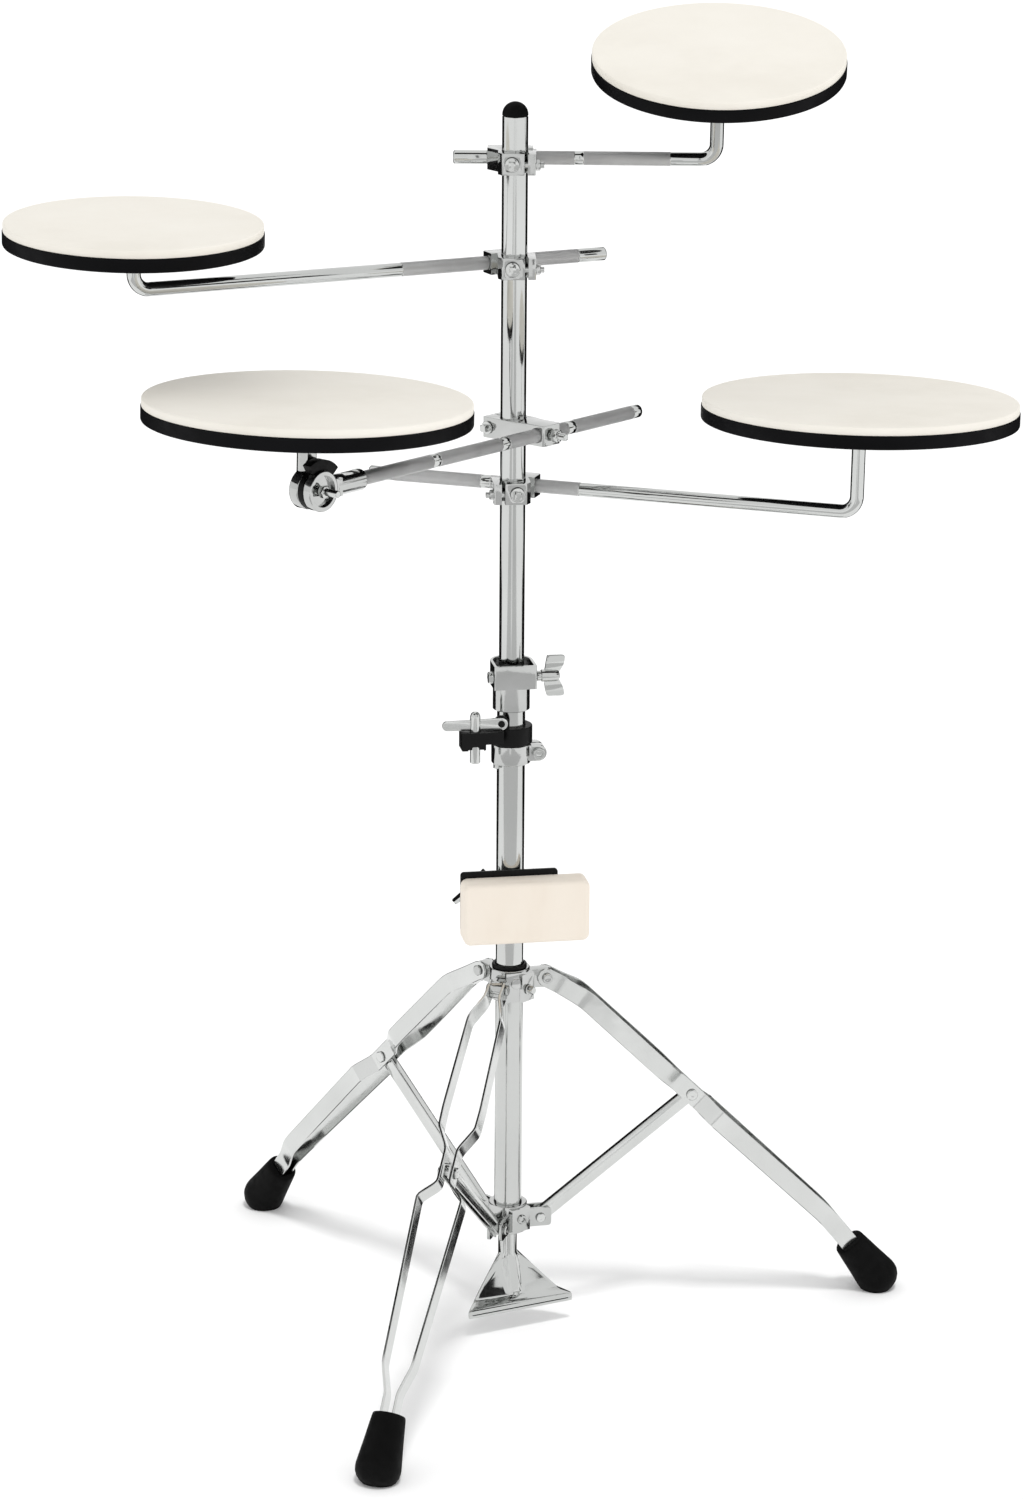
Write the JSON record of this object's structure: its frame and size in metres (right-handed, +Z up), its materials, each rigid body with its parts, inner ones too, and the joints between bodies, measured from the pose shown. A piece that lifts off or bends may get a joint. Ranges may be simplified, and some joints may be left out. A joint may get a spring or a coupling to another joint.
{
  "type": "practice pad set on tripod stand",
  "caption": "Practice pad set: round rubber playing pads on swivelling arms, with a kick pad and pedal plate, on a chromed folding tripod stand.",
  "frame": {"origin": "on the floor, at the centre of the set's footprint box", "axes": "+Z up along the mast; -Y towards the player and the kick pad; +X to the player's right"},
  "size_m": [0.8002, 0.612, 1.121],
  "materials": {
    "chrome": "polished",
    "black_casting": "satin",
    "black_nylon": "matte",
    "gum_rubber": "matte",
    "black_board": "matte",
    "black_rubber": "matte"
  },
  "bodies": {
    "stand": {"base_tube": "chrome", "height_clamp": "chrome", "height_bush": "black_nylon", "lower_collar": "chrome"},
    "mast": {"upper_tube": "chrome", "top_cap": "black_rubber"},
    "height_wing_bolt": {"height_wing_bolt": "chrome"},
    "pedal_plate": {"pedal_plate": "chrome"},
    "tripod_hub": {"leg_hub": "chrome", "hub_bush": "black_nylon"},
    "hub_key_screw": {"hub_key_screw": "chrome"},
    "leg_right": {"leg_right_strip_a": "chrome", "leg_right_strip_b": "chrome", "leg_right_foot": "black_rubber"},
    "strut_right": {"leg_right_strut": "chrome"},
    "leg_left": {"leg_left_strip_a": "chrome", "leg_left_strip_b": "chrome", "leg_left_foot": "black_rubber"},
    "strut_left": {"leg_left_strut": "chrome"},
    "leg_front": {"leg_front_strip_a": "chrome", "leg_front_strip_b": "chrome", "leg_front_foot": "black_rubber"},
    "strut_front": {"leg_front_strut": "chrome"},
    "index_clamp": {"index_clamp": "black_casting"},
    "index_lever": {"index_lever": "chrome"},
    "index_pin": {"index_pin": "chrome"},
    "memory_ring": {"memory_ring": "chrome"},
    "memory_screw": {"memory_screw": "chrome"},
    "kick_pad": {"kick_pad": "gum_rubber", "kick_plate": "black_casting", "kick_strap": "black_casting"},
    "kick_wing_bolt": {"kick_wing_bolt": "chrome"},
    "clamp_high_right": {"clamp_high_right_body": "chrome", "clamp_high_right_jaw": "chrome"},
    "clamp_high_right_key_screw": {"clamp_high_right_key_screw": "chrome"},
    "arm_high_right": {"arm_high_right": "chrome"},
    "pad_high_right": {"pad_high_right_rubber": "gum_rubber", "pad_high_right_board": "black_board"},
    "clamp_high_left": {"clamp_high_left_body": "chrome", "clamp_high_left_jaw": "chrome"},
    "clamp_high_left_key_screw": {"clamp_high_left_key_screw": "chrome"},
    "arm_high_left": {"arm_high_left": "chrome"},
    "pad_high_left": {"pad_high_left_rubber": "gum_rubber", "pad_high_left_board": "black_board"},
    "clamp_low_right": {"clamp_low_right_body": "chrome", "clamp_low_right_jaw": "chrome"},
    "clamp_low_right_key_screw": {"clamp_low_right_key_screw": "chrome"},
    "arm_low_right": {"arm_low_right": "chrome"},
    "pad_low_right": {"pad_low_right_rubber": "gum_rubber", "pad_low_right_board": "black_board"},
    "clamp_low_left": {"clamp_low_left_body": "chrome"},
    "clamp_low_left_key_screw": {"clamp_low_left_key_screw": "chrome"},
    "clamp_low_left_lock_bolt": {"clamp_low_left_lock_bolt": "chrome"},
    "arm_low_left": {"arm_low_left": "chrome", "tilter_socket": "chrome", "tilter_cog": "black_nylon"},
    "pad_low_left": {"pad_low_left_rubber": "gum_rubber", "pad_low_left_board": "black_board"},
    "tilter_post": {"tilter_post": "chrome"},
    "tilter_bolt": {"tilter_bolt": "chrome"}
  },
  "joints": [
    {"name": "mast_height", "type": "slide", "parent": "stand", "child": "mast", "axis": [0, 0, 1], "range_m": [-0.1, 0.1]},
    {"name": "height_wing_bolt_turn", "type": "hinge", "parent": "stand", "child": "height_wing_bolt", "pos_m": [-0.00052, 0.02516, 0.581], "axis": [0.9848, 0.1736, 0], "continuous": true},
    {"name": "pedal_plate_height", "type": "slide", "parent": "stand", "child": "pedal_plate", "axis": [0, 0, 1], "range_m": [-0.01, 0.02]},
    {"name": "hub_height", "type": "slide", "parent": "stand", "child": "tripod_hub", "axis": [0, 0, 1], "range_m": [0, 0.027]},
    {"name": "hub_key_screw_turn", "type": "hinge", "parent": "tripod_hub", "child": "hub_key_screw", "pos_m": [0.01075, 0.0286, 0.307], "axis": [0.7431, -0.6691, 0], "continuous": true},
    {"name": "leg_right_fold", "type": "hinge", "parent": "tripod_hub", "child": "leg_right", "pos_m": [0.02721, 0.04798, 0.3121], "axis": [0.213, -0.977, 0], "range_deg": [-6.6, 0]},
    {"name": "strut_right_fold", "type": "hinge", "parent": "stand", "child": "strut_right", "pos_m": [0.0236, 0.04719, 0.0936], "axis": [0.213, -0.977, 0], "range_deg": [0, 7.4]},
    {"name": "leg_left_fold", "type": "hinge", "parent": "tripod_hub", "child": "leg_left", "pos_m": [-0.02444, 0.06446, 0.3121], "axis": [0.7396, 0.673, 0], "range_deg": [-6.6, 0]},
    {"name": "strut_left_fold", "type": "hinge", "parent": "stand", "child": "strut_left", "pos_m": [-0.02195, 0.06172, 0.0936], "axis": [0.7396, 0.673, 0], "range_deg": [0, 7.4]},
    {"name": "leg_front_fold", "type": "hinge", "parent": "tripod_hub", "child": "leg_front", "pos_m": [-0.01289, 0.01149, 0.3121], "axis": [-0.9527, 0.304, 0], "range_deg": [-6.6, 0]},
    {"name": "strut_front_fold", "type": "hinge", "parent": "stand", "child": "strut_front", "pos_m": [-0.01176, 0.01502, 0.0936], "axis": [-0.9527, 0.304, 0], "range_deg": [0, 7.4]},
    {"name": "index_clamp_turn", "type": "hinge", "parent": "stand", "child": "index_clamp", "pos_m": [-0.00337, 0.04131, 0.528], "axis": [0, 0, 1], "range_deg": [-20, 20]},
    {"name": "index_lever_lift", "type": "hinge", "parent": "index_clamp", "child": "index_lever", "pos_m": [-0.01129, 0.02286, 0.541], "axis": [-0.1736, 0.9848, 0], "range_deg": [0, 10]},
    {"name": "index_pin_lift", "type": "slide", "parent": "index_clamp", "child": "index_pin", "axis": [0, 0, 1], "range_m": [0, 0.0038]},
    {"name": "memory_ring_height", "type": "slide", "parent": "stand", "child": "memory_ring", "axis": [0, 0, 1], "range_m": [-0.02, 0]},
    {"name": "memory_screw_turn", "type": "hinge", "parent": "memory_ring", "child": "memory_screw", "pos_m": [0.0183, 0.04513, 0.512], "axis": [0.1736, -0.9848, 0], "continuous": true},
    {"name": "kick_pad_height", "type": "slide", "parent": "stand", "child": "kick_pad", "axis": [0, 0, 1], "range_m": [0, 0.05]},
    {"name": "kick_wing_bolt_turn", "type": "hinge", "parent": "kick_pad", "child": "kick_wing_bolt", "pos_m": [-0.03578, 0.02646, 0.395], "axis": [-0.1736, 0.9848, 0], "continuous": true},
    {"name": "clamp_high_right_turn", "type": "hinge", "parent": "mast", "child": "clamp_high_right", "pos_m": [-0.00337, 0.04131, 1.0045], "axis": [0, 0, 1], "range_deg": [-60, 60]},
    {"name": "clamp_high_right_key_screw_turn", "type": "hinge", "parent": "clamp_high_right", "child": "clamp_high_right_key_screw", "pos_m": [-0.00569, 0.02135, 1.0045], "axis": [-0.0162, -0.9999, 0], "continuous": true},
    {"name": "arm_high_right_reach", "type": "slide", "parent": "clamp_high_right", "child": "arm_high_right", "axis": [0.9999, -0.0162, 0], "range_m": [-0.04, 0.025]},
    {"name": "pad_high_right_turn", "type": "hinge", "parent": "arm_high_right", "child": "pad_high_right", "pos_m": [0.15795, 0.0349, 1.08791], "axis": [-0.0044, -0.2689, 0.9632], "continuous": true},
    {"name": "clamp_high_left_turn", "type": "hinge", "parent": "mast", "child": "clamp_high_left", "pos_m": [-0.00337, 0.04131, 0.9204], "axis": [0, 0, 1], "range_deg": [-40, 40]},
    {"name": "clamp_high_left_key_screw_turn", "type": "hinge", "parent": "clamp_high_left", "child": "clamp_high_left_key_screw", "pos_m": [-0.00467, 0.02125, 0.9204], "axis": [0.0349, -0.9994, 0], "continuous": true},
    {"name": "arm_high_left_reach", "type": "slide", "parent": "clamp_high_left", "child": "arm_high_left", "axis": [-0.8992, -0.4376, 0], "range_m": [-0.04, 0.025]},
    {"name": "pad_high_left_turn", "type": "hinge", "parent": "arm_high_left", "child": "pad_high_left", "pos_m": [-0.29829, -0.08304, 0.96745], "axis": [0.021, -0.0431, 0.9988], "continuous": true},
    {"name": "clamp_low_right_turn", "type": "hinge", "parent": "mast", "child": "clamp_low_right", "pos_m": [-0.00337, 0.04131, 0.7355], "axis": [0, 0, 1], "range_deg": [-25, 45]},
    {"name": "clamp_low_right_key_screw_turn", "type": "hinge", "parent": "clamp_low_right", "child": "clamp_low_right_key_screw", "pos_m": [0.00071, 0.02163, 0.7355], "axis": [0.1045, -0.9945, 0], "continuous": true},
    {"name": "arm_low_right_reach", "type": "slide", "parent": "clamp_low_right", "child": "arm_low_right", "axis": [0.947, -0.3213, 0], "range_m": [-0.04, 0.025]},
    {"name": "pad_low_right_turn", "type": "hinge", "parent": "arm_low_right", "child": "pad_low_right", "pos_m": [0.27308, -0.02875, 0.82065], "axis": [0.0112, 0.033, 0.9994], "continuous": true},
    {"name": "clamp_low_left_turn", "type": "hinge", "parent": "mast", "child": "clamp_low_left", "pos_m": [-0.00337, 0.04131, 0.787], "axis": [0, 0, 1], "range_deg": [-25, 25]},
    {"name": "clamp_low_left_key_screw_turn", "type": "hinge", "parent": "clamp_low_left", "child": "clamp_low_left_key_screw", "pos_m": [-0.02448, 0.04093, 0.787], "axis": [-0.6494, -0.7604, 0], "continuous": true},
    {"name": "clamp_low_left_lock_bolt_turn", "type": "hinge", "parent": "clamp_low_left", "child": "clamp_low_left_lock_bolt", "pos_m": [0.03313, 0.01014, 0.787], "axis": [0.7604, -0.6494, 0], "continuous": true},
    {"name": "arm_low_left_reach", "type": "slide", "parent": "clamp_low_left", "child": "arm_low_left", "axis": [-0.6494, -0.7604, 0], "range_m": [-0.04, 0.05]},
    {"name": "tilter_tilt", "type": "hinge", "parent": "arm_low_left", "child": "tilter_post", "pos_m": [-0.15395, -0.18673, 0.787], "axis": [0.7604, -0.6494, 0], "range_deg": [-10, 20]},
    {"name": "tilter_bolt_turn", "type": "hinge", "parent": "arm_low_left", "child": "tilter_bolt", "pos_m": [-0.15395, -0.18673, 0.787], "axis": [0.7604, -0.6494, 0], "continuous": true},
    {"name": "pad_low_left_turn", "type": "hinge", "parent": "tilter_post", "child": "pad_low_left", "pos_m": [-0.15976, -0.17876, 0.84946], "axis": [0.0238, 0.0279, 0.9993], "continuous": true}
  ],
  "couplings": [
    {"joint": "leg_right_fold", "follows": "hub_height", "rad_per_m": -3.787},
    {"joint": "strut_right_fold", "follows": "hub_height", "rad_per_m": 4.206},
    {"joint": "leg_left_fold", "follows": "hub_height", "rad_per_m": -3.787},
    {"joint": "strut_left_fold", "follows": "hub_height", "rad_per_m": 4.206},
    {"joint": "leg_front_fold", "follows": "hub_height", "rad_per_m": -3.787},
    {"joint": "strut_front_fold", "follows": "hub_height", "rad_per_m": 4.206},
    {"joint": "index_lever_lift", "follows": "index_pin_lift", "rad_per_m": 45.455}
  ]
}
